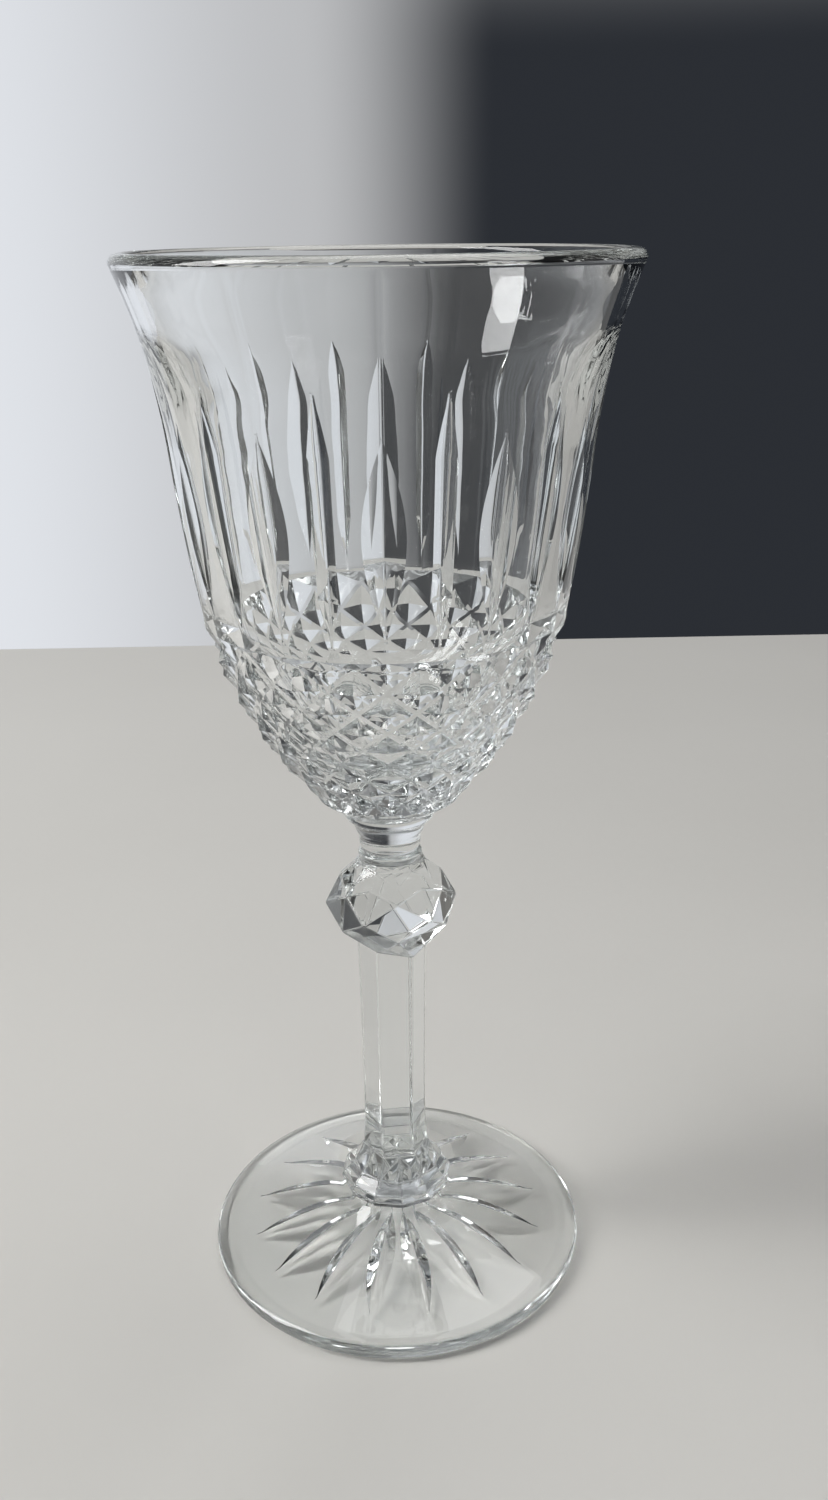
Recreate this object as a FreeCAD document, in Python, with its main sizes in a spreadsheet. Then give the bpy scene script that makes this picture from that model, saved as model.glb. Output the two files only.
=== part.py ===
# Cut-glass wine glass, built in millimetres with the resting plane at z = 0 and the axis on z.
# Six pieces of glass stand on one axis and meet face to face: foot, stem base, shaft, knop,
# collar and bowl.  The six-sided parts are drawn with a flat facing -Y and then turned together
# about z by stem_turn; bowl and foot have a leaf and a gap between two rays facing -Y.
import FreeCAD, Part
import math
import os
import Sketcher

# Driving sizes in millimetres; every outline below is written in these names.
SIZES = {
    # foot
    "foot_radius": 34.0,
    "foot_edge": 3.0,
    "foot_edge_round": 1.5,
    "foot_crown": 11.8,
    "foot_crown_radius": 9.6,
    "foot_top_curve": 90.0,
    "rest_inner": 29.5,
    "rest_outer": 32.5,
    "hollow_rise": 5.0,
    "hollow_centre": 3.0,
    "hollow_curve": 120.0,
    "ray_wheel": 33.3,
    "ray_wheel_reach": 9.5,
    "ray_wheel_drop": 28.0,
    "ray_vee": 3.84,
    # stem base
    "ring_radius": 10.2,
    "ring_edge": 1.2,
    "flare_curve": 9.0,
    "flare_top": 20.5,
    "flare_flat": 5.3,
    "flare_flat_low": 9.4,
    "flare_flat_drop": 3.9,
    # shaft, and the turn of all the six-sided parts in degrees
    "stem_turn": 6.0,
    "shaft_foot": 26.0,
    "shaft_head": 62.5,
    "shaft_foot_corner": 5.5,
    "shaft_head_corner": 5.95,
    # knop
    "knop_head": 78.3,
    "knop_head_corner": 6.0,
    "knop_shoulder": 75.0,
    "knop_shoulder_corner": 8.6,
    "knop_upper": 73.15,
    "knop_upper_corner": 9.4,
    "knop_waist": 69.9,
    "knop_waist_corner": 11.3,
    "knop_lower": 66.6,
    # collar
    "neck_radius": 5.4,
    "neck_band": 1.1,
    "groove_radius": 4.8,
    "low_ring_radius": 5.2,
    "low_ring_base": 80.2,
    "low_ring_top": 82.6,
    "top_ring_radius": 7.5,
    "top_ring_face": 1.3,
    "top_ring_curve": 4.2,
    "bowl_foot": 87.2,
    # bowl, outside
    "total_height": 175.0,
    "lip_round": 1.45,
    "lip_radius": 38.6,
    "flare_start": 152.0,
    "flare_start_radius": 32.75,
    "wall_flare_curve": 92.0,
    "wall_foot": 121.2,
    "wall_foot_radius": 28.6,
    "wall_side_curve": 400.0,
    # bowl, inside
    "cup_floor": 96.5,
    "cup_floor_curve": 19.8,
    "cup_heel": 104.0,
    "cup_heel_radius": 15.5,
    "cup_heel_curve": 38.9,
    "cup_side": 122.0,
    "cup_side_radius": 23.8,
    "cup_side_curve": 300.0,
    "cup_flare_radius": 28.0,
    "cup_flare_curve": 80.0,
    # wide and narrow leaf cuts: grinding wheel and the depth of its V edge
    "wide_wheel": 114.6,
    "wide_wheel_reach": 143.85,
    "wide_wheel_height": 124.3,
    "wide_vee": 1.91,
    "narrow_wheel": 130.0,
    "narrow_wheel_reach": 159.2,
    "narrow_wheel_height": 123.9,
    "narrow_vee": 4.5,
    # half width at which the depth of every V edge above is given
    "vee_half": 6.0,
    # smooth base of the bowl
    "base_radius": 7.6,
    "base_head_radius": 11.9,
    "base_curve": 7.0,
    # diamond band
    "band_knee": 98.0,
    "band_knee_radius": 18.4,
    "band_curve": 60.0,
    "band_first_row": 119.6,
    "band_last_row": 90.4,
    "band_last_radius": 12.0,
    "groove_ratio": 0.05,
}
RAYS = 16
LEAVES = 12
DIAMONDS = 18
HALF_ROWS = 9
ROW_SHRINK = 0.965
SIDES = 6

doc = FreeCAD.newDocument("wine_glass")
sheet = doc.addObject("Spreadsheet::Sheet", "sizes")
for row, (alias, number) in enumerate(SIZES.items(), start=1):
    sheet.set(f"A{row}", alias)
    sheet.set(f"B{row}", str(number))
    sheet.setAlias(f"B{row}", alias)
doc.recompute()


def size(alias):
    """Number held by the named cell."""
    return float(sheet.get(alias))


def is_number(word):
    """True for a plain number such as 0.5."""
    return word.replace(".", "", 1).isdigit()


def value(text):
    """Number for a sum such as 'foot_edge + 0.5*ring_edge'."""
    total = 0.0
    sign = 1.0
    for word in text.split():
        if word in ("+", "-"):
            sign = 1.0 if word == "+" else -1.0
            continue
        product = 1.0
        for factor in word.split("*"):
            product *= float(factor) if is_number(factor) else size(factor)
        total += sign * product
        sign = 1.0
    return total


def formula(text):
    """The same sum written so that an expression can read the cells."""
    words = []
    for word in text.split():
        if word in ("+", "-"):
            words.append(word)
            continue
        factors = [f if is_number(f) else "sizes." + f for f in word.split("*")]
        words.append(" * ".join(factors))
    return " ".join(words)


def new_body(label):
    """Empty body with its own label."""
    body = doc.addObject("PartDesign::Body", label)
    body.Label = label
    return body


def origin_plane(body, role):
    """Plane of the body's own origin, found by its role."""
    return next(item for item in body.Origin.OriginFeatures if item.Role == role)


def new_sketch(body, name, role):
    """Sketch lying on one of the body's origin planes."""
    sketch = body.newObject("Sketcher::SketchObject", name)
    sketch.AttachmentSupport = (origin_plane(body, role), [""])
    sketch.MapMode = "FlatFace"
    return sketch


def arc_through(start, end, radius):
    """Arc from start to end, shorter than a half turn.

    A positive radius keeps the centre on the left of the walk from start to end."""
    along = end - start
    half = along.Length / 2
    left = FreeCAD.Vector(-along.y, along.x, 0).normalize()
    rise = math.sqrt(radius * radius - half * half)
    centre = (start + end) * 0.5 + left * math.copysign(rise, radius)
    first = math.atan2(start.y - centre.y, start.x - centre.x)
    last = math.atan2(end.y - centre.y, end.x - centre.x)
    if radius < 0:
        first, last = last, first
    circle = Part.Circle(centre, FreeCAD.Vector(0, 0, 1), abs(radius))
    return Part.ArcOfCircle(circle, first, last)


def pin(sketch, index, end, kind, text, number):
    """Hold one coordinate of an outline corner at the sum written in text."""
    if abs(number) < 1e-9:
        axis = -2 if kind == "DistanceX" else -1
        sketch.addConstraint(Sketcher.Constraint("PointOnObject", index, end, axis))
    elif number > 0:
        place = sketch.addConstraint(Sketcher.Constraint(kind, -1, 1, index, end, number))
        sketch.setExpression(f"Constraints[{place}]", formula(text))
    else:
        place = sketch.addConstraint(Sketcher.Constraint(kind, index, end, -1, 1, -number))
        sketch.setExpression(f"Constraints[{place}]", f"-({formula(text)})")


def draw_outline(sketch, corners):
    """Closed outline whose corners and arc radii follow the sheet.

    Each corner is (across, up) or (across, up, curve); the curve, such as '+hollow_curve',
    bends the side leaving that corner, with its centre on the left for + and right for -."""
    points = [FreeCAD.Vector(value(c[0]), value(c[1]), 0) for c in corners]
    count = len(corners)
    for index, corner in enumerate(corners):
        start = points[index]
        end = points[(index + 1) % count]
        if len(corner) == 3:
            radius = size(corner[2][1:]) * (1 if corner[2][0] == "+" else -1)
            sketch.addGeometry(arc_through(start, end, radius))
        else:
            sketch.addGeometry(Part.LineSegment(start, end))
    for index, corner in enumerate(corners):
        forward = len(corner) == 2 or corner[2][0] == "+"
        own_start = 1 if forward else 2
        before = corners[index - 1]
        before_end = 2 if len(before) == 2 or before[2][0] == "+" else 1
        sketch.addConstraint(
            Sketcher.Constraint("Coincident", index, own_start, (index - 1) % count, before_end))
        pin(sketch, index, own_start, "DistanceX", corner[0], points[index].x)
        pin(sketch, index, own_start, "DistanceY", corner[1], points[index].y)
        if len(corner) == 3:
            alias = corner[2][1:]
            place = sketch.addConstraint(Sketcher.Constraint("Radius", index, size(alias)))
            sketch.setExpression(f"Constraints[{place}]", formula(alias))


def revolve_body(label, corners):
    """Body turned about z from an outline drawn in the XZ plane."""
    body = new_body(label)
    sketch = new_sketch(body, label + "_outline", "XZ_Plane")
    draw_outline(sketch, corners)
    turned = body.newObject("PartDesign::Revolution", label + "_turned")
    turned.Profile = sketch
    turned.ReferenceAxis = (sketch, ["V_Axis"])
    turned.Angle = 360
    doc.recompute()
    return body


def repeat_around(body, feature, count):
    """Copy one cut evenly about z."""
    pattern = body.newObject("PartDesign::PolarPattern", feature.Name + "_ring")
    pattern.Originals = [feature]
    pattern.Axis = (origin_plane(body, "Z_Axis"), [""])
    pattern.Angle = 360
    pattern.Occurrences = count
    body.Tip = pattern
    doc.recompute()
    removed = feature.BaseFeature.Shape.Volume - pattern.Shape.Volume
    assert removed > 1.0, f"{feature.Name} cuts nothing"


def wheel_cut(body, name, role, offset, turn, corners, axle):
    """Cut left by a grinding wheel with a V edge, drawn about the wheel's own centre."""
    sketch = new_sketch(body, name + "_edge", role)
    axis, angle = turn
    sketch.AttachmentOffset = FreeCAD.Placement(
        FreeCAD.Vector(), FreeCAD.Rotation(FreeCAD.Vector(*axis), angle))
    for place, text in zip("xyz", offset):
        sketch.setExpression(f"AttachmentOffset.Base.{place}", text)
    draw_outline(sketch, corners)
    groove = body.newObject("PartDesign::Groove", name)
    groove.Profile = sketch
    groove.ReferenceAxis = (sketch, [axle])
    groove.Angle = 360
    doc.recompute()
    return groove


def leaf_cut(body, kind, turn):
    """One leaf on the bowl wall, cut from outside by an upright wheel."""
    reach = f"sizes.{kind}_wheel_reach"
    offset = (f"{reach} * cos({turn})", f"{reach} * sin({turn})", f"sizes.{kind}_wheel_height")
    edge = [
        (f"- {kind}_wheel", "0"),
        (f"- {kind}_wheel + {kind}_vee", "- vee_half"),
        (f"- {kind}_wheel + {kind}_vee", "vee_half"),
    ]
    return wheel_cut(body, kind + "_leaf", "XY_Plane", offset, ((0, 0, 1), turn), edge, "V_Axis")


def turn_stem_piece(item):
    """Turn a six-sided piece about z from its drawn position."""
    item.Placement = FreeCAD.Placement(FreeCAD.Vector(), FreeCAD.Rotation(FreeCAD.Vector(0, 0, 1), 1))
    item.setExpression("Placement.Rotation.Angle", "sizes.stem_turn")
    doc.recompute()
    return item


def flat_cuts(body, name, corners):
    """Six flats: the region drawn beside the axis is cut away along X, then turned about z."""
    sketch = new_sketch(body, name + "_side", "YZ_Plane")
    draw_outline(sketch, corners)
    pocket = body.newObject("PartDesign::Pocket", name)
    pocket.Profile = sketch
    pocket.Type = 1
    pocket.Midplane = True
    doc.recompute()
    repeat_around(body, pocket, SIDES)


def ring(count, first_angle, radius, height):
    """Points spread evenly about z, the first at first_angle degrees from -Y."""
    angles = [math.radians(first_angle + 360 * k / count - 90) for k in range(count)]
    return [FreeCAD.Vector(radius * math.cos(a), radius * math.sin(a), height) for a in angles]


def solid_from_facets(facets):
    """Solid bounded by flat facets, each a list of corners."""
    faces = [Part.Face(Part.makePolygon(corners + corners[:1])) for corners in facets]
    solid = Part.Solid(Part.Shell(faces))
    if solid.Volume < 0:
        solid.reverse()
    return solid


def make_foot():
    """Domed foot, hollow underneath, with a star of wheel-cut rays on the underside."""
    body = revolve_body("foot", [
        ("0", "hollow_rise"),
        ("hollow_centre", "hollow_rise", "-hollow_curve"),
        ("rest_inner", "0"),
        ("rest_outer", "0", "+foot_edge_round"),
        ("foot_radius", "foot_edge_round"),
        ("foot_radius", "foot_edge_round + 0.1", "+foot_edge_round"),
        ("foot_radius - 1.4*foot_edge_round", "foot_edge", "-foot_top_curve"),
        ("foot_crown_radius", "foot_crown"),
        ("0", "foot_crown"),
    ])
    turn = 180 / RAYS
    offset = (
        f"sizes.ray_wheel_reach * sin({turn})",
        "-sizes.ray_wheel_drop",
        f"sizes.ray_wheel_reach * cos({turn})",
    )
    edge = [("0", "ray_wheel"), ("- vee_half", "ray_wheel - ray_vee"), ("vee_half", "ray_wheel - ray_vee")]
    ray = wheel_cut(body, "ray", "YZ_Plane", offset, ((0, 1, 0), turn), edge, "H_Axis")
    repeat_around(body, ray, RAYS)
    return body


def make_stem_base():
    """Flared button between shaft and foot: round ring below, hexagon above."""
    body = revolve_body("stem_base", [
        ("0", "foot_crown"),
        ("foot_crown_radius", "foot_crown"),
        ("ring_radius", "foot_crown + 0.5*ring_edge"),
        ("ring_radius", "foot_crown + ring_edge", "-flare_curve"),
        ("shaft_head_corner", "flare_top"),
        ("shaft_foot_corner", "shaft_foot"),
        ("0", "shaft_foot"),
    ])
    flat_cuts(body, "flare_flats", [
        ("0.866*shaft_foot_corner", "shaft_foot"),
        ("flare_flat", "flare_top - 0.4*ring_edge"),
        ("flare_flat_low", "flare_top - flare_flat_drop"),
        ("2*flare_flat_low", "flare_top - flare_flat_drop"),
        ("2*flare_flat_low", "shaft_foot"),
    ])
    return turn_stem_piece(body)


def make_shaft():
    """Hexagonal stem, slightly slimmer towards the foot."""
    body = new_body("shaft")
    sections = []
    for name, height, corner in (
            ("shaft_low", "shaft_foot", "shaft_foot_corner"),
            ("shaft_high", "shaft_head", "shaft_head_corner")):
        sketch = new_sketch(body, name, "XY_Plane")
        sketch.setExpression("AttachmentOffset.Base.z", formula(height))
        draw_outline(sketch, [
            (corner, "0"),
            ("0.5*" + corner, "0.8660254*" + corner),
            ("- 0.5*" + corner, "0.8660254*" + corner),
            ("- " + corner, "0"),
            ("- 0.5*" + corner, "- 0.8660254*" + corner),
            ("0.5*" + corner, "- 0.8660254*" + corner),
        ])
        sections.append(sketch)
    loft = body.newObject("PartDesign::AdditiveLoft", "shaft_loft")
    loft.Profile = sections[0]
    loft.Sections = [sections[1]]
    loft.Ruled = True
    doc.recompute()
    return turn_stem_piece(body)


def make_knop():
    """Faceted knop: rings of six corners joined by flat facets."""
    waist_flat = size("knop_waist_corner") * math.cos(math.pi / SIDES)
    slope = (waist_flat - size("knop_upper_corner")) / (size("knop_upper") - size("knop_waist"))
    lower_corner = waist_flat + slope * (size("knop_waist") - size("knop_lower"))
    head = ring(SIDES, 30, size("knop_head_corner"), size("knop_head"))
    shoulder = ring(SIDES, 30, size("knop_shoulder_corner"), size("knop_shoulder"))
    upper = ring(SIDES, 0, size("knop_upper_corner"), size("knop_upper"))
    waist = ring(SIDES, 30, size("knop_waist_corner"), size("knop_waist"))
    lower = ring(SIDES, 0, lower_corner, size("knop_lower"))
    tail = ring(SIDES, 30, size("shaft_head_corner"), size("shaft_head"))
    facets = [head, list(reversed(tail))]
    for this in range(SIDES):
        last = this - 1
        after = (this + 1) % SIDES
        facets += [
            [head[last], shoulder[last], shoulder[this], head[this]],
            [shoulder[last], upper[this], shoulder[this]],
            [shoulder[last], waist[last], upper[this]],
            [shoulder[this], upper[this], waist[this]],
            [upper[this], waist[last], waist[this]],
            [waist[last], lower[this], waist[this]],
            [waist[this], lower[this], tail[this]],
            [waist[this], tail[this], lower[after]],
            [lower[this], tail[last], tail[this]],
        ]
    knop = doc.addObject("Part::Feature", "knop")
    knop.Shape = solid_from_facets(facets)
    return turn_stem_piece(knop)


def make_collar():
    """Turned neck with a lower ring and a wider ring under the bowl."""
    return revolve_body("collar", [
        ("0", "knop_head"),
        ("neck_radius", "knop_head"),
        ("neck_radius", "knop_head + neck_band"),
        ("groove_radius", "low_ring_base - 0.3*neck_band"),
        ("groove_radius", "low_ring_base"),
        ("low_ring_radius", "low_ring_base + neck_band"),
        ("low_ring_radius", "low_ring_top", "-top_ring_curve"),
        ("top_ring_radius", "bowl_foot - top_ring_face"),
        ("top_ring_radius", "bowl_foot"),
        ("0", "bowl_foot"),
    ])


def make_bowl_wall():
    """Solid upper bowl: flared side, rounded lip and the two sets of leaf cuts."""
    body = revolve_body("bowl_wall", [
        ("0", "wall_foot"),
        ("wall_foot_radius", "wall_foot", "+wall_side_curve"),
        ("flare_start_radius", "flare_start", "-wall_flare_curve"),
        ("lip_radius", "total_height - lip_round", "+lip_round"),
        ("lip_radius - lip_round", "total_height"),
        ("0", "total_height"),
    ])
    for kind, turn in (("wide", 0), ("narrow", 180 / LEAVES)):
        repeat_around(body, leaf_cut(body, kind, turn), LEAVES)
    return body


def make_bowl_hollow():
    """Space inside the bowl, open at the lip."""
    return revolve_body("bowl_hollow", [
        ("0", "cup_floor", "+cup_floor_curve"),
        ("cup_heel_radius", "cup_heel", "+cup_heel_curve"),
        ("cup_side_radius", "cup_side", "+cup_side_curve"),
        ("cup_flare_radius", "flare_start", "-cup_flare_curve"),
        ("lip_radius - 2*lip_round", "total_height - lip_round", "-lip_round"),
        ("lip_radius - lip_round", "total_height"),
        ("lip_radius - lip_round", "total_height + lip_round"),
        ("0", "total_height + lip_round"),
    ])


def band_radius(height):
    """Radius over the diamond points: a cone in the lower rows, then an arc to the wall."""
    knee = FreeCAD.Vector(size("band_knee_radius"), size("band_knee"), 0)
    top = FreeCAD.Vector(size("wall_foot_radius"), size("wall_foot"), 0)
    if height < knee.y:
        share = (height - size("band_last_row")) / (knee.y - size("band_last_row"))
        return size("band_last_radius") + share * (knee.x - size("band_last_radius"))
    centre = arc_through(knee, top, size("band_curve")).Center
    return centre.x + math.sqrt(size("band_curve") ** 2 - (height - centre.y) ** 2)


def diamond_rows():
    """Heights of the groove crossings, closer together as the bowl narrows."""
    steps = [ROW_SHRINK ** k for k in range(HALF_ROWS)]
    unit = (size("band_first_row") - size("band_last_row")) / sum(steps)
    return [size("band_first_row") - unit * sum(steps[:k]) for k in range(HALF_ROWS + 1)]


def make_diamond_band():
    """Pyramids left standing between crossed V grooves round the lower bowl."""
    columns = 2 * DIAMONDS
    grid = [ring(columns, 0, size("wall_foot_radius"), size("wall_foot"))]
    for row, height in enumerate(diamond_rows()):
        points = ring(columns, 0, 1.0, height)
        for column, point in enumerate(points):
            sunk = (row + column) % 2 == 1 and row < HALF_ROWS
            radius = band_radius(height) * (1 - size("groove_ratio") if sunk else 1)
            point.x *= radius
            point.y *= radius
        grid.append(points)
    facets = [list(grid[0]), list(reversed(grid[-1]))]
    for row in range(len(grid) - 1):
        above, below = grid[row], grid[row + 1]
        for column in range(columns):
            after = (column + 1) % columns
            if (row + column) % 2 == 0:
                facets.append([above[column], below[column], below[after]])
                facets.append([above[column], below[after], above[after]])
            else:
                facets.append([above[column], below[column], above[after]])
                facets.append([above[after], below[column], below[after]])
    band = doc.addObject("Part::Feature", "diamond_band")
    band.Shape = solid_from_facets(facets)
    return band


def make_bowl_base():
    """Smooth cove between the top ring of the collar and the lowest diamonds."""
    return revolve_body("bowl_base", [
        ("0", "bowl_foot"),
        ("base_radius", "bowl_foot", "-base_curve"),
        ("base_head_radius", "band_last_row"),
        ("0", "band_last_row"),
    ])


def make_bowl():
    """Bowl: base, diamond band and wall joined, then hollowed."""
    joined = doc.addObject("Part::MultiFuse", "bowl_solid")
    joined.Shapes = [make_bowl_base(), make_diamond_band(), make_bowl_wall()]
    bowl = doc.addObject("Part::Cut", "bowl")
    bowl.Base = joined
    bowl.Tool = make_bowl_hollow()
    doc.recompute()
    return bowl


NODES = {
    "foot": make_foot,
    "stem_base": make_stem_base,
    "shaft": make_shaft,
    "knop": make_knop,
    "collar": make_collar,
    "bowl": make_bowl,
}

nodes = {}
for label, make in NODES.items():
    nodes[label] = make()
    nodes[label].Label = label
doc.recompute()

for item in doc.Objects:
    assert not {"Invalid", "Error"} & set(item.State), f"{item.Name}: {item.State}"
os.makedirs("parts", exist_ok=True)
for label, node in nodes.items():
    assert not node.Shape.isNull() and node.Shape.isValid(), label
    assert len(node.Shape.Solids) == 1, label
    node.Shape.exportStep(f"parts/{label}.step")
    print(f"{label}: {node.Shape.Volume / 1000:.2f} cm3, {len(node.Shape.Faces)} faces")
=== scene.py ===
import math
import bpy
import bmesh
import numpy as np
from mathutils import Matrix, Vector


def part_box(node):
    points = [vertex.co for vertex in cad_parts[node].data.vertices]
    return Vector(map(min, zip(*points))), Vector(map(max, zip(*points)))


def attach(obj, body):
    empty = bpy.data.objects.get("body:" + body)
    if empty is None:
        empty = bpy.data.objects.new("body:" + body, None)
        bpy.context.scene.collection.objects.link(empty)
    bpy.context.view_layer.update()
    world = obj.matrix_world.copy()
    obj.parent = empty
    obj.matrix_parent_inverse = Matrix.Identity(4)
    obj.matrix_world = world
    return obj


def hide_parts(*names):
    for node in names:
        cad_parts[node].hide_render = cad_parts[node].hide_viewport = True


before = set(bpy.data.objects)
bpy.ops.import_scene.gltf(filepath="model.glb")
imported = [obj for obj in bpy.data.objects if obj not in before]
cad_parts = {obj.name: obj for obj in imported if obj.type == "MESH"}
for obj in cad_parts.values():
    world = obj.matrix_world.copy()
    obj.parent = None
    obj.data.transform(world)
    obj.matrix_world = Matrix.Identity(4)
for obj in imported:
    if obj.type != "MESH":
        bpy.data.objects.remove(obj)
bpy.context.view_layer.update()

# outlines are written in millimetres and scaled when a mesh is made
MM = 0.001
FOOT_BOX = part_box("foot")
FOOT_RADIUS = FOOT_BOX[1][0] / MM
CROWN = FOOT_BOX[1][2] / MM
SHAFT_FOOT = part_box("shaft")[0][2] / MM
SHAFT_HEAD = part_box("shaft")[1][2] / MM
KNOP_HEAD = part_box("knop")[1][2] / MM
BOWL_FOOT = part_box("bowl")[0][2] / MM
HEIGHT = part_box("bowl")[1][2] / MM
LIP_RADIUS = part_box("bowl")[1][0] / MM
# neighbouring pieces run this far into each other, so that no gap shows between them
LAP = 0.04
# turn of the six-sided pieces about z, in degrees
STEM_TURN = 6.0
# height of the bead along a polished edge, over the width of its strip
BEAD = 0.45

DRAWS = np.random.default_rng(7)


# ---------------------------------------------------------------- outlines and rings

def smooth_line(points, steps=8):
    """Smooth curve through points (Catmull-Rom), with a number of steps between each pair."""
    p = np.array(points, float)
    p = np.vstack([2 * p[0] - p[1], p, 2 * p[-1] - p[-2]])
    out = []
    for a, b, c, d in zip(p, p[1:], p[2:], p[3:]):
        for t in np.linspace(0, 1, steps, endpoint=False):
            out.append(0.5 * (2 * b + (c - a) * t + (2 * a - 5 * b + 4 * c - d) * t ** 2
                              + (3 * b - a - 3 * c + d) * t ** 3))
    out.append(p[-2])
    return np.array(out)


def rounded(points, radius, steps=4):
    """Polyline with each inner corner replaced by a short curve."""
    p = np.array(points, float)
    out = [p[0]]
    for a, b, c in zip(p, p[1:], p[2:]):
        before, after = a - b, c - b
        reach = min(radius, 0.45 * np.linalg.norm(before), 0.45 * np.linalg.norm(after))
        start = b + before / np.linalg.norm(before) * reach
        end = b + after / np.linalg.norm(after) * reach
        for t in np.linspace(0, 1, steps + 1):
            out.append((1 - t) ** 2 * start + 2 * t * (1 - t) * b + t ** 2 * end)
    out.append(p[-1])
    return np.array(out)


def ring(angles, radius, height):
    """Ring of points in millimetres; angles in degrees run anticlockwise from -Y."""
    a = np.radians(np.asarray(angles, float) - 90)
    radius = np.broadcast_to(radius, a.shape)
    height = np.broadcast_to(height, a.shape)
    return np.stack([radius * np.cos(a), radius * np.sin(a), height], axis=-1)


def even_ring(count, radius, height):
    """Ring of evenly spaced points."""
    return ring(np.arange(count) * 360.0 / count, radius, height)


def directions(points):
    """Angle of every point of a ring about z, growing steadily past a full turn."""
    return np.unwrap(np.arctan2(points[:, 1], points[:, 0]))


def zipped(first, second, start_a, start_b):
    """Triangles between two rings with different numbers of points, matched by their angles."""
    na, nb = len(first), len(second)
    ta, tb = directions(first), directions(second)
    tb = tb - round((tb[0] - ta[0]) / (2 * math.pi)) * 2 * math.pi
    ta = np.append(ta, ta[0] + 2 * math.pi)
    tb = np.append(tb, tb[0] + 2 * math.pi)
    faces = []
    i = j = 0
    while i < na or j < nb:
        if j == nb or (i < na and ta[i + 1] <= tb[j + 1]):
            faces.append((start_a + i % na, start_a + (i + 1) % na, start_b + j % nb))
            i += 1
        else:
            faces.append((start_a + i % na, start_b + (j + 1) % nb, start_b + j % nb))
            j += 1
    return faces


def skin(rings, splits=None):
    """Closed surface over a stack of rings, first to last, with a fan on each end.

    splits[k] says which way the cells between ring k and ring k + 1 are split: an array of
    booleans, True for a split from the lower left corner, or None for plain four-sided faces."""
    points, faces, starts = [], [], []
    total = 0
    for one in rings:
        starts.append(total)
        points.append(one)
        total += len(one)
    for k in range(len(rings) - 1):
        a, b = rings[k], rings[k + 1]
        sa, sb = starts[k], starts[k + 1]
        if len(a) != len(b):
            faces += zipped(a, b, sa, sb)
            continue
        n = len(a)
        split = None if splits is None else splits[k]
        for i in range(n):
            j = (i + 1) % n
            if split is None:
                faces.append((sa + i, sa + j, sb + j, sb + i))
            elif split[i]:
                faces.append((sa + i, sa + j, sb + j))
                faces.append((sa + i, sb + j, sb + i))
            else:
                faces.append((sa + i, sa + j, sb + i))
                faces.append((sa + j, sb + j, sb + i))
    for one, start, flip in ((rings[0], starts[0], True), (rings[-1], starts[-1], False)):
        centre = total
        points.append(one.mean(axis=0)[None])
        total += 1
        n = len(one)
        for i in range(n):
            j = (i + 1) % n
            faces.append((start + j, start + i, centre) if flip else (start + i, start + j, centre))
    return np.vstack(points), faces


def round_creases(bm, width):
    """Replace every crease by a narrow rounded strip with a faint bead along its middle."""
    creases = [e for e in bm.edges if e.is_manifold and e.calc_face_angle(0) > math.radians(6)]
    made = bmesh.ops.bevel(bm, geom=creases, offset=width * MM, segments=4, profile=0.5,
                           affect="EDGES", clamp_overlap=True)
    strips = set(made["faces"])
    rim = {v for v in made["verts"] if any(face not in strips for face in v.link_faces)}
    bm.normal_update()
    for vertex in made["verts"]:
        if vertex not in rim and not any(e.other_vert(vertex) in rim for e in vertex.link_edges):
            vertex.co += BEAD * width * MM * vertex.normal


def lean_on_flats(mesh):
    """Turn the shading normals to the larger faces, so that flats stay flat up to the strips."""
    normals = np.zeros((len(mesh.vertices), 3))
    for face in mesh.polygons:
        weight = face.area ** 2 * np.array(face.normal)
        for vertex in face.vertices:
            normals[vertex] += weight
    normals /= np.linalg.norm(normals, axis=1)[:, None]
    mesh.normals_split_custom_set_from_vertices(normals.tolist())


def make_piece(name, node, points, faces, sharp=25.0, strip=0.0, ruled=range(0), creases=()):
    """Mesh object in metres that stands for one CAD node.

    Edges bent by more than sharp degrees are creases; between points numbered in ruled only
    the pairs listed in creases are.  A strip width rounds the creases off instead."""
    bm = bmesh.new()
    vertices = [bm.verts.new(point) for point in (points * MM).tolist()]
    for face in faces:
        bm.faces.new([vertices[i] for i in face]).smooth = True
    bm.verts.index_update()
    bmesh.ops.recalc_face_normals(bm, faces=bm.faces)
    if strip:
        round_creases(bm, strip)
    else:
        for edge in bm.edges:
            a, b = sorted(v.index for v in edge.verts)
            if a in ruled and b in ruled:
                edge.smooth = (a, b) not in creases
            else:
                edge.smooth = edge.calc_face_angle(0) < math.radians(sharp)
    for face in bm.faces:
        face.smooth = True
    mesh = bpy.data.meshes.new(name)
    bm.to_mesh(mesh)
    bm.free()
    if strip:
        lean_on_flats(mesh)
    mesh.materials.append(CRYSTAL)
    piece = bpy.data.objects.new(name, mesh)
    bpy.context.scene.collection.objects.link(piece)
    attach(piece, "root")
    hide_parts(node)
    return piece


def column_creases(rings, first, last, per_sector, chosen):
    """Pairs of point numbers along the chosen columns of every sector, from ring first to last."""
    starts = np.cumsum([0] + [len(one) for one in rings])
    pairs = set()
    for k in range(first, last):
        for column in range(len(rings[k])):
            if column % per_sector in chosen:
                pairs.add((int(starts[k]) + column, int(starts[k + 1]) + column))
    return range(int(starts[first]), int(starts[last + 1])), pairs


def v_groove(offset, edge, bottom):
    """Depth of a V groove at an offset from its middle, over a slope of one; bottom is the half
    width of its rounded bottom."""
    offset = np.abs(offset)
    straight = edge - offset
    curved = edge - bottom / 2 - offset ** 2 / (2 * bottom)
    return np.where(offset < bottom, curved, np.maximum(straight, 0))


# ---------------------------------------------------------------- materials

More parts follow.
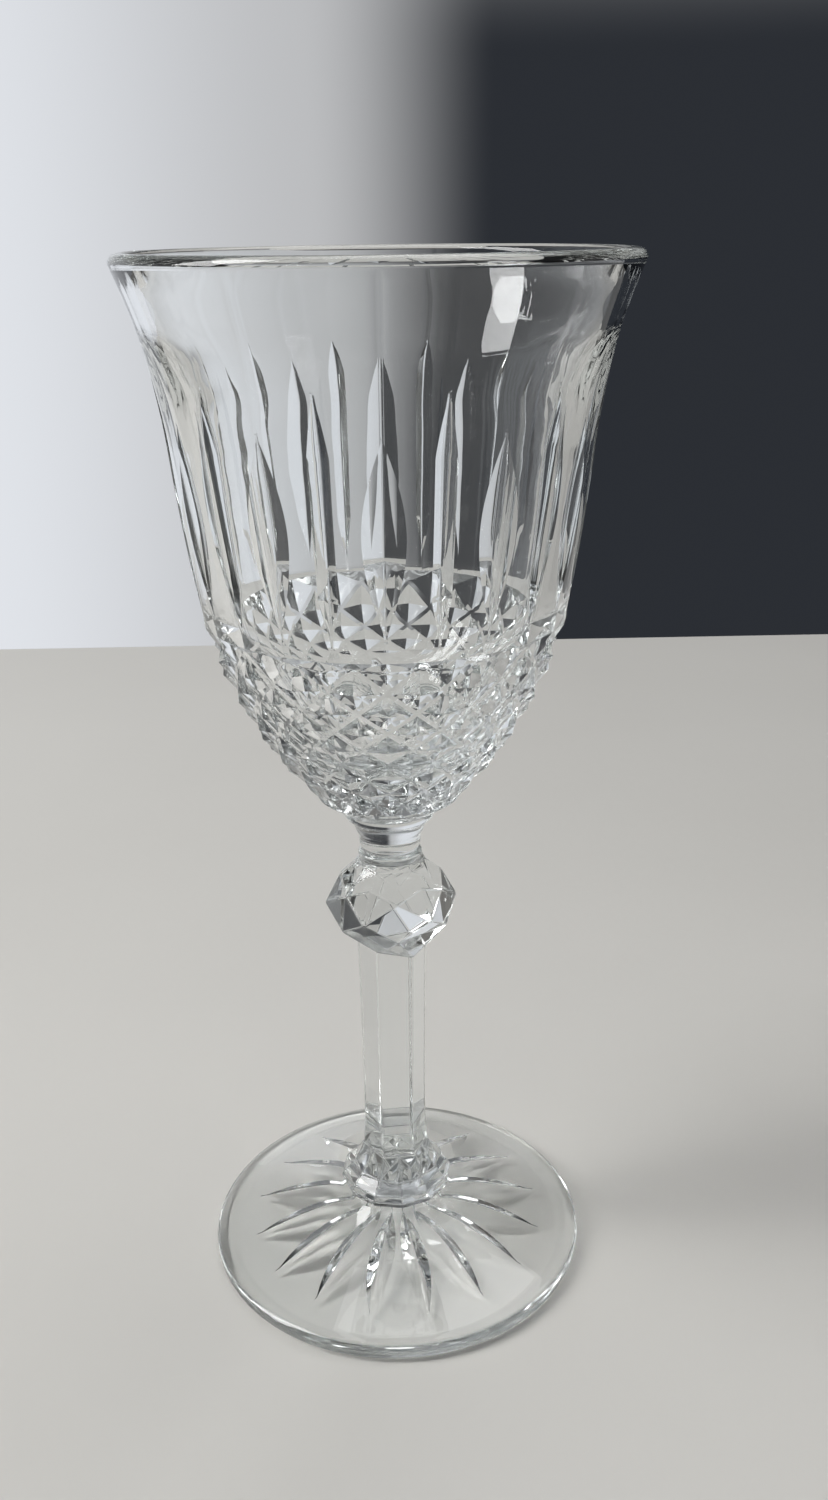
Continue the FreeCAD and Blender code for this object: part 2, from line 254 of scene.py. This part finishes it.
def crystal():
    """Clear lead crystal with a faint grey body and a trace of haze from washing."""
    mat = bpy.data.materials.new("crystal")
    mat.use_nodes = True
    nodes, links = mat.node_tree.nodes, mat.node_tree.links
    bsdf = nodes["Principled BSDF"]
    out = nodes["Material Output"]
    bsdf.inputs["Transmission Weight"].default_value = 1.0
    bsdf.inputs["IOR"].default_value = 1.545
    place = nodes.new("ShaderNodeTexCoord")
    haze = nodes.new("ShaderNodeTexNoise")
    haze.inputs["Scale"].default_value = 55.0
    haze.inputs["Detail"].default_value = 3.0
    links.new(place.outputs["Object"], haze.inputs["Vector"])
    tone = nodes.new("ShaderNodeValToRGB")
    tone.color_ramp.elements[0].position = 0.3
    tone.color_ramp.elements[0].color = (0.955, 0.965, 0.965, 1)
    tone.color_ramp.elements[1].position = 0.7
    tone.color_ramp.elements[1].color = (0.985, 0.99, 0.99, 1)
    links.new(haze.outputs["Fac"], tone.inputs["Fac"])
    links.new(tone.outputs["Color"], bsdf.inputs["Base Color"])
    rough = nodes.new("ShaderNodeMapRange")
    rough.inputs["From Min"].default_value = 0.45
    rough.inputs["From Max"].default_value = 0.8
    rough.inputs["To Min"].default_value = 0.0
    rough.inputs["To Max"].default_value = 0.02
    links.new(haze.outputs["Fac"], rough.inputs["Value"])
    links.new(rough.outputs["Result"], bsdf.inputs["Roughness"])
    body = nodes.new("ShaderNodeVolumeAbsorption")
    body.inputs["Color"].default_value = (0.72, 0.77, 0.76, 1)
    body.inputs["Density"].default_value = 11.0
    links.new(body.outputs["Volume"], out.inputs["Volume"])
    return mat


CRYSTAL = crystal()


# ---------------------------------------------------------------- bowl

LIP_ROUND = 1.45
WALL_FOOT = 121.2
LEAF_FOOT = 124.6
SECTORS = 24
# outlines of the wall as (radius, height): up the outside, and down the inside
OUTSIDE = smooth_line([
    (28.7, 122.0), (30.3, 132.0), (31.6, 142.0), (32.75, 152.0), (34.7, 162.0), (36.55, 168.0),
    (LIP_RADIUS, HEIGHT - LIP_ROUND)])
INSIDE = smooth_line([
    (LIP_RADIUS - 2.9, HEIGHT - LIP_ROUND), (34.4, 170.8), (32.7, 165.6), (30.7, 160.0), (29.0, 155.0),
    (27.9, 150.0), (27.2, 145.0), (25.4, 131.5), (23.8, 122.0), (20.8, 112.6), (15.5, 104.0),
    (9.0, 98.6), (3.0, 96.7)])


def wall_radius(height):
    """Radius of the uncut outside of the bowl."""
    return np.interp(height, OUTSIDE[:, 1], OUTSIDE[:, 0])


# columns of points in a sector, and those on the two edges of its leaf
LEAF_COLUMNS = 14
LEAF_EDGES = (2, 10)
LEAF_SLOPE = {"wide": 0.34, "narrow": 0.72}
LEAF_TIP = {"wide": 152.6, "narrow": 158.0}
# half widths in degrees: of a leaf at its widest, at least, and of its rounded bottom
LEAF_HALF_WIDTH = {"wide": 5.6, "narrow": 2.75}
LEAF_LEAST = 0.4
LEAF_BOTTOM = 0.45


def leaf_half_width(kind, height):
    """Half width in degrees of a leaf cut at a height, none beyond its tips."""
    t = (height - LEAF_FOOT) / (LEAF_TIP[kind] - LEAF_FOOT)
    if not 0 < t < 1:
        return 0.0
    if kind == "wide":
        share = math.sin(math.pi * t ** 1.05) ** 0.95 * (1 - 0.18 * t ** 6)
    else:
        share = min(1, t / 0.17, (1 - t) / 0.24) ** 0.75
    return LEAF_HALF_WIDTH[kind] * share


def wall_ring(height):
    """One ring of the upper bowl, with columns on the middle and edges of every leaf."""
    angles, depths = [], []
    base = float(wall_radius(height))
    half_sector = 180.0 / SECTORS
    for sector in range(SECTORS):
        kind = "wide" if sector % 2 == 0 else "narrow"
        edge = max(leaf_half_width(kind, height), LEAF_LEAST)
        bottom = min(LEAF_BOTTOM, edge / 3)
        rest = (half_sector - edge) / 3
        offsets = np.array([
            -edge - 2 * rest, -edge - rest, -edge, -0.55 * edge, -bottom, -bottom / 2, 0,
            bottom / 2, bottom, 0.55 * edge, edge, edge + rest, edge + 2 * rest, half_sector])
        cut = LEAF_SLOPE[kind] if leaf_half_width(kind, height) else 0.0
        angles.append(sector * 2 * half_sector + offsets)
        depths.append(cut * math.radians(1) * base * v_groove(offsets, edge, bottom))
    return ring(np.concatenate(angles), base - np.concatenate(depths), height)


# groove crossings: two columns to a diamond, rows half a diamond apart, and each step down
# this much shorter than the one above
DIAMOND_COLUMNS = 36
DIAMOND_HALF_ROWS = 9
ROW_SHRINK = 0.965
FIRST_ROW, LAST_ROW = 119.6, 90.4
# small cells along each side of a cell between groove crossings
CELL = 8
# depth of a groove, over the radius of the bowl there
DIAMOND_DEPTH = 0.052
# spread of the hand-cut points: in degrees round the bowl, and in millimetres out and up
UNEVEN_TURN, UNEVEN_RADIUS, UNEVEN_HEIGHT = 0.10, 0.03, 0.05


def band_radius(height):
    """Radius over the diamond points."""
    line = smooth_line([(12.0, LAST_ROW), (13.4, 92.0), (18.5, 98.0), (23.2, 106.0), (26.8, 114.0),
                        (28.6, WALL_FOOT)], 6)
    return np.interp(height, line[:, 1], line[:, 0])


def diamond_rows():
    """Heights of the groove crossings, closer together as the bowl narrows."""
    steps = ROW_SHRINK ** np.arange(DIAMOND_HALF_ROWS)
    drop = np.concatenate([[0], np.cumsum(steps)]) / steps.sum()
    return FIRST_ROW - (FIRST_ROW - LAST_ROW) * drop


def diamond_nodes():
    """Corner points of the pyramids, row by row from the top, each cut a little unevenly."""
    rows = [even_ring(DIAMOND_COLUMNS, wall_radius(WALL_FOOT), WALL_FOOT)]
    columns = np.arange(DIAMOND_COLUMNS)
    heights = diamond_rows()
    for row, height in enumerate(heights):
        last = row == len(heights) - 1
        sunk = (row + columns) % 2 == 1
        uneven = 0 if last else 1
        depth = DIAMOND_DEPTH / 2 if last else DIAMOND_DEPTH
        radius = float(band_radius(height)) * np.where(sunk, 1 - depth, 1.0)
        rows.append(ring(
            columns * 360.0 / DIAMOND_COLUMNS + uneven * DRAWS.normal(0, UNEVEN_TURN, DIAMOND_COLUMNS),
            radius + uneven * DRAWS.normal(0, UNEVEN_RADIUS, DIAMOND_COLUMNS),
            height + uneven * DRAWS.normal(0, UNEVEN_HEIGHT, DIAMOND_COLUMNS)))
    return rows


def facet_point(corners, s, t, falling):
    """Point at shares s across and t down a cell made of two flat triangles; the groove between
    them falls from the upper left corner or rises from the lower left one."""
    a, b, c, d = corners
    if falling:
        return a + s * (b - a) + t * (d - b) if s >= t else a + t * (c - a) + s * (d - c)
    return a + s * (b - a) + t * (c - a) if s + t <= 1 else d + (1 - s) * (c - d) + (1 - t) * (b - d)


def sagitta(share):
    """Gap between the round wall and the straight side of the first row, a share along the side."""
    angle = math.radians(360 / DIAMOND_COLUMNS)
    side = 2 * float(wall_radius(WALL_FOOT)) * math.sin(angle / 2)
    return share * (1 - share) * side ** 2 / (2 * float(wall_radius(WALL_FOOT)))


def diamond_rings():
    """Fine rings over the pyramids and the way each small cell is split, top to bottom."""
    rows = diamond_nodes()
    heights = diamond_rows()
    columns = np.arange(DIAMOND_COLUMNS)
    rings, splits = [], []
    for row in range(len(rows) - 1):
        upper, lower = rows[row], rows[row + 1]
        falling = (row + columns) % 2 == 0
        # a groove bottom is filled by this much, which makes it flat and one cell wide on each side
        fill = 0 if row == 0 else DIAMOND_DEPTH * float(band_radius(heights[row - 1])) / CELL
        for step in range(CELL):
            points = []
            for column in columns:
                after = (column + 1) % DIAMOND_COLUMNS
                corners = upper[column], upper[after], lower[column], lower[after]
                for part in range(CELL):
                    point = facet_point(corners, part / CELL, step / CELL, falling[column])
                    in_groove = part == step if falling[column] else part + step == CELL
                    outward = point * (1, 1, 0) / np.hypot(point[0], point[1])
                    if in_groove:
                        point = point + fill * outward
                    if row == 0:
                        point = point + (1 - step / CELL) * sagitta(part / CELL) * outward
                    points.append(point)
            rings.append(np.array(points))
            splits.append(np.repeat(falling, CELL))
    last = rows[-1]
    rings.append(np.concatenate([
        np.linspace(last[c], last[(c + 1) % DIAMOND_COLUMNS], CELL, endpoint=False) for c in columns]))
    return rings, splits


def make_bowl():
    """Bowl: lip, leaf-cut wall, diamond band and plain base outside, smooth cup inside."""
    wall_heights = np.concatenate([
        np.linspace(HEIGHT - 1.6, 159, 12, endpoint=False),
        np.linspace(159, LEAF_FOOT - 0.2, 90, endpoint=False),
        np.linspace(LEAF_FOOT - 0.2, WALL_FOOT + 0.05, 4)])
    wall = [wall_ring(h) for h in wall_heights]
    # from the middle of the cup floor up the inside and over the lip
    lip = [(LIP_RADIUS - LIP_ROUND + LIP_ROUND * math.cos(a), HEIGHT - LIP_ROUND + LIP_ROUND * math.sin(a))
           for a in np.radians(np.linspace(175, 5, 18))]
    cup = [even_to(wall[0], r, h) for r, h in [*INSIDE[::-1], *lip]]
    down, splits = diamond_rings()
    base = rounded([
        (11.95, LAST_ROW - 0.25), (11.2, LAST_ROW - 0.9), (9.3, LAST_ROW - 1.9),
        (8.2, BOWL_FOOT + 0.35), (7.85, BOWL_FOOT - LAP), (5.0, BOWL_FOOT - LAP)], 0.5)
    down += [even_to(down[-1], r, h) for r, h in base]
    splits += [None] * len(base)
    rings = cup + wall + down
    points, faces = skin(rings, [None] * (len(cup) + len(wall)) + splits)
    ruled, creases = column_creases(
        rings, len(cup), len(cup) + len(wall) - 1, LEAF_COLUMNS, LEAF_EDGES)
    return make_piece("bowl_crystal", "bowl", points, faces, sharp=20.0, ruled=ruled, creases=creases)


def even_to(model, radius, height):
    """Circle of points in the column spacing of another ring."""
    a = np.arctan2(model[:, 1], model[:, 0])
    return np.stack([radius * np.cos(a), radius * np.sin(a), np.full(len(a), height)], axis=-1)


# ---------------------------------------------------------------- stem

def turned(name, node, outline, columns=192, sharp=25.0):
    """Piece turned about z from an outline of (radius, height), bottom to top."""
    rings = [even_ring(columns, r, h) for r, h in outline]
    points, faces = skin(rings)
    return make_piece(name, node, points, faces, sharp)


def make_collar():
    """Neck and the two rings under the bowl."""
    outline = rounded([
        (4.2, KNOP_HEAD - LAP), (5.42, KNOP_HEAD - LAP), (5.45, KNOP_HEAD + 0.7), (5.3, KNOP_HEAD + 1.15),
        (4.8, KNOP_HEAD + 1.55), (4.8, KNOP_HEAD + 1.8), (5.15, KNOP_HEAD + 2.2), (5.2, KNOP_HEAD + 3.2),
        (5.3, KNOP_HEAD + 4.2), (5.75, KNOP_HEAD + 5.1), (6.05, KNOP_HEAD + 6.0), (6.7, BOWL_FOOT - 1.75),
        (7.45, BOWL_FOOT - 1.3), (7.6, BOWL_FOOT - 0.65), (7.45, BOWL_FOOT), (7.1, BOWL_FOOT + LAP),
        (5.0, BOWL_FOOT + LAP)], 0.22, 3)
    return turned("collar_crystal", "collar", outline)


def faceted(name, node, rows, strip):
    """Twelve-column piece with flat facets; each row is the (radius, height) over a flat, then
    over a corner, and the cells are split from the side named in the row's third entry."""
    rings, splits = [], []
    for flat, corner, side in rows:
        angles = np.arange(12) * 30.0 + STEM_TURN
        on_flat = np.arange(12) % 2 == 0
        heights = np.stack([np.broadcast_to(flat[1], 6), np.broadcast_to(corner[1], 6)], axis=1)
        rings.append(ring(angles, np.where(on_flat, flat[0], corner[0]), heights.ravel()))
        splits.append(on_flat if side == "flat" else ~on_flat)
    points, faces = skin(rings, splits)
    return make_piece(name, node, points, faces, strip=strip)


# radius over a flat of a hexagon, over the radius to its corners
COS30 = math.cos(math.radians(30))
# lowest cut of the knop on each edge of the stem, against the joint between them
KNOP_TAIL = np.array([-1.7, -0.5, 0.2, -0.6, -0.1, -0.25])
# rhombic flats of the knop: corner radius and height at the waist, radius and height of their
# upper ends, and height of their lower ends
KNOP_WAIST, KNOP_WAIST_HEIGHT = 11.3, 69.9
KNOP_UPPER, KNOP_UPPER_HEIGHT = 9.4, 73.15
KNOP_LOWER_HEIGHT = 66.6
# width of the polished strip along the edges of the stem pieces, wider on the shaft
EDGE_STRIP = 0.25
SHAFT_STRIP = 0.4


def hexagon(corner, height, side="flat"):
    """Row of a regular hexagon; the height is one number or one for each corner."""
    heights = np.broadcast_to(height, 6)
    between = (heights + np.roll(heights, 1)) / 2
    return (corner * COS30, between), (corner, heights), side


def make_knop():
    """Six-fold faceted knop; each rhombic flat runs straight from its upper to its lower end."""
    waist_flat = KNOP_WAIST * COS30
    lean = (waist_flat - KNOP_UPPER) / (KNOP_UPPER_HEIGHT - KNOP_WAIST_HEIGHT)
    lower = waist_flat + lean * (KNOP_WAIST_HEIGHT - KNOP_LOWER_HEIGHT)
    rows = [
        hexagon(5.95, SHAFT_HEAD + KNOP_TAIL - LAP, "corner"),
        ((lower, KNOP_LOWER_HEIGHT), (lower * COS30, KNOP_LOWER_HEIGHT), "flat"),
        ((waist_flat, KNOP_WAIST_HEIGHT), (KNOP_WAIST, KNOP_WAIST_HEIGHT), "corner"),
        ((KNOP_UPPER, KNOP_UPPER_HEIGHT), (9.58, KNOP_UPPER_HEIGHT), "flat"),
        hexagon(8.6, 75.0),
        ((5.4, 77.5), (5.85, 77.2), "flat"),
        ((5.35, KNOP_HEAD), (5.42, KNOP_HEAD), "flat"),
    ]
    return faceted("knop_crystal", "knop", rows, EDGE_STRIP)


def make_shaft():
    """Hexagonal stem, slightly slimmer towards the foot."""
    corners = smooth_line([(5.76, 54.0), (5.66, 46.0), (5.54, 36.0), (5.47, SHAFT_FOOT - LAP)], 6)
    rows = [hexagon(5.93, SHAFT_HEAD + KNOP_TAIL + LAP)] + [hexagon(c, h) for c, h in corners]
    return faceted("shaft_crystal", "shaft", rows[::-1], SHAFT_STRIP)


def make_stem_base():
    """Flare from the hexagon to the round ring."""
    rows = [
        hexagon(5.5, SHAFT_FOOT),
        hexagon(5.62, 23.0),
        hexagon(5.85, 19.6, "corner"),
        ((7.9, 15.6), (7.6, 15.8), "corner"),
        ((9.6, 13.8), (9.6, 13.8), "flat"),
        ((10.2, CROWN + 1.0), (10.2, CROWN + 1.0), "flat"),
        ((9.8, CROWN - LAP), (9.8, CROWN - LAP), "flat"),
    ]
    return faceted("stem_base_crystal", "stem_base", rows[::-1], EDGE_STRIP)


# ---------------------------------------------------------------- foot

RAYS = 16
REST_INNER, REST_OUTER = 29.5, 32.5
HOLLOW_RISE, HOLLOW_CURVE, HOLLOW_CENTRE = 5.0, 120.0, 3.0
# grinding wheel of the rays: its radius, where its middle stands and the slope of its V edge
RAY_WHEEL, RAY_REACH, RAY_DROP = 33.3, 9.5, 28.0
RAY_SLOPE = 0.64
# half width of the rounded bottom of a ray, and the least half width in degrees of a ray
RAY_BOTTOM = 0.2
RAY_LEAST = 0.6
# columns of points in a sector, and those on the two edges of its ray
RAY_COLUMNS = 10
RAY_EDGES = (1, 7)


def dome(radius):
    """Height of the hollow underside: level in the middle, then an arc down to the ring."""
    u = (radius - HOLLOW_CENTRE) / (REST_INNER - HOLLOW_CENTRE)
    if u < 0:
        return HOLLOW_RISE
    bulge = ((REST_INNER - HOLLOW_CENTRE) ** 2 + HOLLOW_RISE ** 2) / (8 * HOLLOW_CURVE)
    return HOLLOW_RISE * (1 - u) + 4 * bulge * u * (1 - u)


def ray_depth(radius):
    """How far the middle of a ray is cut up into the foot from its hollow underside."""
    return max(math.sqrt(RAY_WHEEL ** 2 - (radius - RAY_REACH) ** 2) - RAY_DROP - dome(radius), 0.0)


def foot_ring_below(radius):
    """One ring of the underside, with columns on the middle and edges of every ray."""
    half_sector = 180.0 / RAYS
    depth = ray_depth(radius)
    width = depth / RAY_SLOPE
    edge = min(max(math.degrees(width / radius), RAY_LEAST), half_sector * 0.95)
    bottom = min(math.degrees(RAY_BOTTOM / radius), edge / 3)
    rest = (half_sector - edge) / 2
    offsets = np.array([-edge - rest, -edge, -edge / 2, -bottom, 0, bottom, edge / 2, edge,
                        edge + rest, half_sector])
    cut = RAY_SLOPE if depth else 0.0
    lift = cut * math.radians(1) * radius * v_groove(offsets, edge, bottom)
    middles = half_sector + 2 * half_sector * np.arange(RAYS)
    angles = (middles[:, None] + offsets).ravel()
    return ring(angles, radius, dome(radius) + np.tile(lift, RAYS))


def make_foot():
    """Domed foot with the star cut on its hollow underside."""
    below = [foot_ring_below(r) for r in np.concatenate([
        np.linspace(0.8, 24, 46, endpoint=False), np.linspace(24, REST_INNER, 14)])]
    top = smooth_line([(FOOT_RADIUS - 2.1, 3.0), (29.0, 3.85), (24.0, 5.4), (19.0, 7.2), (14.0, 9.35),
                       (9.8, CROWN - 0.1)], 8)
    edge = rounded([(REST_OUTER - 1.5, 0.0), (FOOT_RADIUS - 0.9, 0.0), (FOOT_RADIUS, 0.9),
                    (FOOT_RADIUS, 2.1), (FOOT_RADIUS - 0.9, 2.85), (FOOT_RADIUS - 2.1, 3.0)], 1.0, 5)
    outline = np.vstack([[(REST_INNER + 0.6, 0.0)], edge, top[1:], [(9.0, CROWN), (4.0, CROWN)]])
    rings = below + [even_to(below[-1], r, h) for r, h in outline]
    points, faces = skin(rings)
    ruled, creases = column_creases(rings, 0, len(below) - 1, RAY_COLUMNS, RAY_EDGES)
    return make_piece("foot_crystal", "foot", points, faces, ruled=ruled, creases=creases)


for make in (make_bowl, make_collar, make_knop, make_shaft, make_stem_base, make_foot):
    make()


# ---------------------------------------------------------------- stage, light and camera

# how far the table reaches behind, in front and to each side of the glass, in metres
TABLE_BACK, TABLE_FRONT, TABLE_SIDE = 0.385, 0.6, 0.75
# just under the foot, because glass standing on a table keeps a film of air below it
TABLE_TOP = -0.0002


def pale_floor():
    """Satin pale table top that ends behind the glass."""
    mat = bpy.data.materials.new("table")
    mat.use_nodes = True
    nodes, links = mat.node_tree.nodes, mat.node_tree.links
    bsdf = nodes["Principled BSDF"]
    bsdf.inputs["Roughness"].default_value = 0.42
    place = nodes.new("ShaderNodeTexCoord")
    grain = nodes.new("ShaderNodeTexNoise")
    grain.inputs["Scale"].default_value = 9.0
    grain.inputs["Detail"].default_value = 4.0
    links.new(place.outputs["Object"], grain.inputs["Vector"])
    tone = nodes.new("ShaderNodeValToRGB")
    tone.color_ramp.elements[0].color = (0.66, 0.645, 0.61, 1)
    tone.color_ramp.elements[1].color = (0.72, 0.705, 0.67, 1)
    links.new(grain.outputs["Fac"], tone.inputs["Fac"])
    links.new(tone.outputs["Color"], bsdf.inputs["Base Color"])
    mesh = bpy.data.meshes.new("table")
    corners = [(-TABLE_SIDE, -TABLE_FRONT), (TABLE_SIDE, -TABLE_FRONT), (TABLE_SIDE, TABLE_BACK),
               (-TABLE_SIDE, TABLE_BACK)]
    mesh.from_pydata([(x, y, TABLE_TOP) for x, y in corners], [], [(0, 1, 2, 3)])
    mesh.materials.append(mat)
    table = bpy.data.objects.new("table", mesh)
    bpy.context.scene.collection.objects.link(table)


def area_light(name, place, size, power):
    """Soft rectangular light aimed at the middle of the glass."""
    data = bpy.data.lights.new(name, "AREA")
    data.shape = "RECTANGLE"
    data.size, data.size_y = size
    data.energy = power
    lamp = bpy.data.objects.new(name, data)
    lamp.location = place
    aim = Vector((0, 0, 0.09)) - Vector(place)
    lamp.rotation_euler = aim.to_track_quat("-Z", "Y").to_euler()
    bpy.context.scene.collection.objects.link(lamp)


def math_node(nodes, links, operation, first, second):
    """Math node on two inputs, each a socket or a number."""
    node = nodes.new("ShaderNodeMath")
    node.operation = operation
    for socket, source in zip(node.inputs, (first, second)):
        if isinstance(source, (int, float)):
            socket.default_value = source
        else:
            links.new(source, socket)
    return node.outputs[0]


def soft_step(nodes, links, source, low, high):
    """Smooth rise from 0 to 1 while the source goes from low to high."""
    node = nodes.new("ShaderNodeMapRange")
    node.interpolation_type = "SMOOTHSTEP"
    node.inputs["From Min"].default_value = low
    node.inputs["From Max"].default_value = high
    links.new(source, node.inputs["Value"])
    return node.outputs["Result"]


def blend(nodes, links, share, first, second):
    """Mix of two colours, each a socket or a tuple."""
    node = nodes.new("ShaderNodeMix")
    node.data_type = "RGBA"
    links.new(share, node.inputs["Factor"])
    for socket, source in zip([i for i in node.inputs if i.type == "RGBA"], (first, second)):
        if isinstance(source, tuple):
            socket.default_value = (*source, 1)
        else:
            links.new(source, socket)
    return next(o for o in node.outputs if o.type == "RGBA")


def studio_world():
    """Walls that alternate, a quarter turn each, between light and dark, under a grey ceiling."""
    dark_front, dark_back = (0.05, 0.05, 0.048), (0.04, 0.045, 0.055)
    light_front = (0.16, 0.16, 0.155)
    light_back_side, light_back_middle = (1.22, 1.26, 1.33), (0.80, 0.81, 0.83)
    ceiling_light, ceiling_dim = (0.30, 0.31, 0.32), (0.17, 0.16, 0.15)
    below = (0.06, 0.055, 0.05)
    world = bpy.data.worlds.new("studio")
    bpy.context.scene.world = world
    world.use_nodes = True
    nodes, links = world.node_tree.nodes, world.node_tree.links
    place = nodes.new("ShaderNodeTexCoord")
    parts = nodes.new("ShaderNodeSeparateXYZ")
    links.new(place.outputs["Generated"], parts.inputs["Vector"])
    x, y, z = parts.outputs
    across = math_node(nodes, links, "MULTIPLY", x, y)
    low = soft_step(nodes, links, z, 0.30, 0.10)
    dark = math_node(nodes, links, "MULTIPLY", soft_step(nodes, links, across, -0.05, 0.08), low)
    behind = soft_step(nodes, links, y, -0.1, 0.1)
    dim = blend(nodes, links, behind, dark_front, dark_back)
    far = blend(nodes, links, soft_step(nodes, links, x, -0.30, -0.02), light_back_side,
                light_back_middle)
    lit = blend(nodes, links, behind, light_front, far)
    walls = blend(nodes, links, dark, lit, dim)
    upper = blend(nodes, links, soft_step(nodes, links, across, -0.05, 0.3), ceiling_light,
                  ceiling_dim)
    above = blend(nodes, links, soft_step(nodes, links, z, 0.15, 0.40), walls, upper)
    room = blend(nodes, links, soft_step(nodes, links, z, -0.28, -0.42), above, below)
    links.new(room, nodes["Background"].inputs["Color"])
    nodes["Background"].inputs["Strength"].default_value = 0.62


# place of the camera in metres, its angles in degrees and its lens in millimetres
CAMERA_PLACE = (0.0, -0.209335, 0.17878)
CAMERA_PITCH, CAMERA_ROLL, CAMERA_YAW = 21.3057, -0.7121, 1.1704
CAMERA_LENS = 32.62


def place_camera():
    """Camera a little above the lip, looking down at the glass."""
    pitch, roll, yaw = (math.radians(a) for a in (CAMERA_PITCH, CAMERA_ROLL, CAMERA_YAW))
    look = Vector((math.sin(yaw) * math.cos(pitch), math.cos(yaw) * math.cos(pitch), -math.sin(pitch)))
    right = Vector((math.cos(yaw), -math.sin(yaw), 0))
    up = right.cross(look)
    across = math.cos(roll) * right + math.sin(roll) * up
    upright = -math.sin(roll) * right + math.cos(roll) * up
    data = bpy.data.cameras.new("camera")
    data.sensor_width = 36.0
    data.lens = CAMERA_LENS
    data.clip_start = 0.01
    camera = bpy.data.objects.new("camera", data)
    turn = Matrix((across, upright, -look)).transposed()
    camera.matrix_world = Matrix.Translation(CAMERA_PLACE) @ turn.to_4x4()
    bpy.context.scene.collection.objects.link(camera)
    bpy.context.scene.camera = camera


pale_floor()
studio_world()
area_light("window", (-0.85, -0.12, 0.85), (0.42, 0.90), 10.4)
area_light("overhead", (0.3, 0.5, 1.6), (1.2, 1.2), 7.0)
place_camera()
bpy.context.scene.view_settings.view_transform = "Standard"
cycles = bpy.context.scene.cycles
cycles.max_bounces = 28
cycles.transmission_bounces = 24
# light caught inside the glass is counted as glossy
cycles.glossy_bounces = 10
# light gathered by the glass on the table stays sharp
cycles.blur_glossy = 0.0
cycles.transparent_max_bounces = 16
